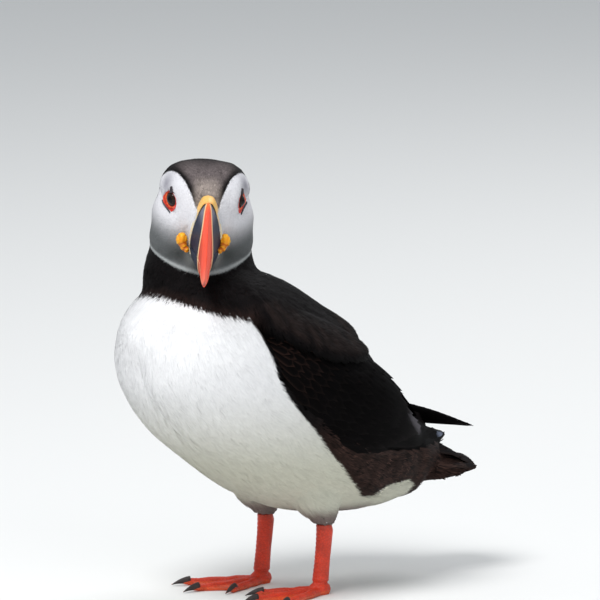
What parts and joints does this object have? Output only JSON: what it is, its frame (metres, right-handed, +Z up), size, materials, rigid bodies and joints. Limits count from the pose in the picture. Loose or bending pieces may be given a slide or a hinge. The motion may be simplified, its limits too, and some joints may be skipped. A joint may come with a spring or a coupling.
{
  "type": "atlantic puffin",
  "caption": "Life-size still model of an Atlantic puffin in breeding plumage, standing on both feet with its head turned over its left shoulder.",
  "frame": {"origin": "on the ground, under the middle of the bird's box", "axes": "+Z up, -Y the way the breast faces, +X the bird's left side; the head is turned towards +X"},
  "size_m": [0.1028, 0.1933, 0.2065],
  "materials": {
    "white_feathers": "soft, matt",
    "face_feathers": "soft, matt",
    "black_feathers": "soft, faint sheen",
    "bill_horn": "satin",
    "cere_skin": "satin",
    "rosette_skin": "satin",
    "foot_skin": "satin",
    "eye": "wet gloss"
  },
  "bodies": {
    "root": {"head": "face_feathers", "neck": "black_feathers", "trunk": "white_feathers", "tail": "black_feathers", "wing_left": "black_feathers", "wing_right": "black_feathers", "thigh_left": "white_feathers", "thigh_right": "white_feathers", "leg_left": "foot_skin", "leg_right": "foot_skin", "foot_left": "foot_skin", "foot_right": "foot_skin", "bill_upper": "bill_horn", "bill_lower": "bill_horn", "cere": "cere_skin", "rosette_left": "rosette_skin", "rosette_right": "rosette_skin", "eye_left": "eye", "eye_right": "eye"}
  },
  "joints": []
}
